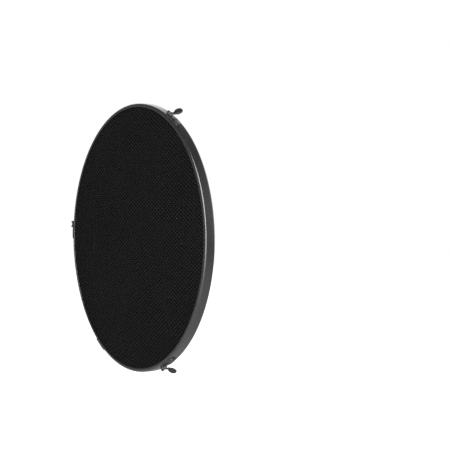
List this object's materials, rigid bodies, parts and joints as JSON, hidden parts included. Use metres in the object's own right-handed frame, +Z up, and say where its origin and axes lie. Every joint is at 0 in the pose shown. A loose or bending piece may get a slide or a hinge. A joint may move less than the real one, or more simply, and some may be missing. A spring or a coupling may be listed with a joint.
{
  "type": "honeycomb grid",
  "caption": "Round black honeycomb light grid in a shallow rolled rim, with sprung clips that clamp it over the rim of a beauty dish.",
  "frame": {"origin": "on the disc's axis, in the plane of the rear edge of the rim that seats against the dish", "axes": "+Y along the disc's axis, away from the viewer and into the dish; the front of the grid faces -Y; +Z up"},
  "size_m": [0.4127, 0.0214, 0.4],
  "materials": {
    "rim_paint": "satin black powder coat",
    "core_black": "matt black painted aluminium foil",
    "clip_paint": "satin black paint on steel",
    "rivet_black": "semi-gloss black",
    "pin_steel": "plain steel",
    "grip_vinyl": "dipped black vinyl, low sheen",
    "spring_steel": "spring wire"
  },
  "bodies": {
    "grid": {"rim_channel": "rim_paint", "honeycomb_core": "core_black", "joint_plate": "rim_paint", "joint_rivets": "rivet_black", "clip_bracket_upper": "clip_paint", "clip_bracket_side": "clip_paint", "clip_bracket_lower": "clip_paint", "bracket_rivet_upper": "rivet_black", "bracket_rivet_side": "rivet_black", "bracket_rivet_lower": "rivet_black", "hinge_pin_upper": "pin_steel", "hinge_pin_side": "pin_steel", "hinge_pin_lower": "pin_steel", "lever_spring_upper": "spring_steel", "lever_spring_side": "spring_steel", "lever_spring_lower": "spring_steel"},
    "lever_upper": {"clip_lever_upper": "clip_paint", "lever_grip_upper": "grip_vinyl"},
    "lever_side": {"clip_lever_side": "clip_paint", "lever_grip_side": "grip_vinyl"},
    "lever_lower": {"clip_lever_lower": "clip_paint", "lever_grip_lower": "grip_vinyl"}
  },
  "joints": [
    {"name": "lever_hinge_upper", "type": "hinge", "parent": "grid", "child": "lever_upper", "pos_m": [0.10211, -0.0138, 0.17834], "axis": [0.8678, 0, -0.4969], "range_deg": [0, 50], "stiffness_Nm_per_rad": 0.05, "springref_deg": -28.65, "deforming": ["lever_spring_upper"]},
    {"name": "lever_hinge_side", "type": "hinge", "parent": "grid", "child": "lever_side", "pos_m": [-0.20458, -0.0138, 0.01937], "axis": [0.0942, 0, 0.9955], "range_deg": [0, 50], "stiffness_Nm_per_rad": 0.05, "springref_deg": -28.65, "deforming": ["lever_spring_side"]},
    {"name": "lever_hinge_lower", "type": "hinge", "parent": "grid", "child": "lever_lower", "pos_m": [0.08552, -0.0138, -0.18686], "axis": [-0.9093, 0, -0.4162], "range_deg": [0, 50], "stiffness_Nm_per_rad": 0.05, "springref_deg": -28.65, "deforming": ["lever_spring_lower"]}
  ]
}
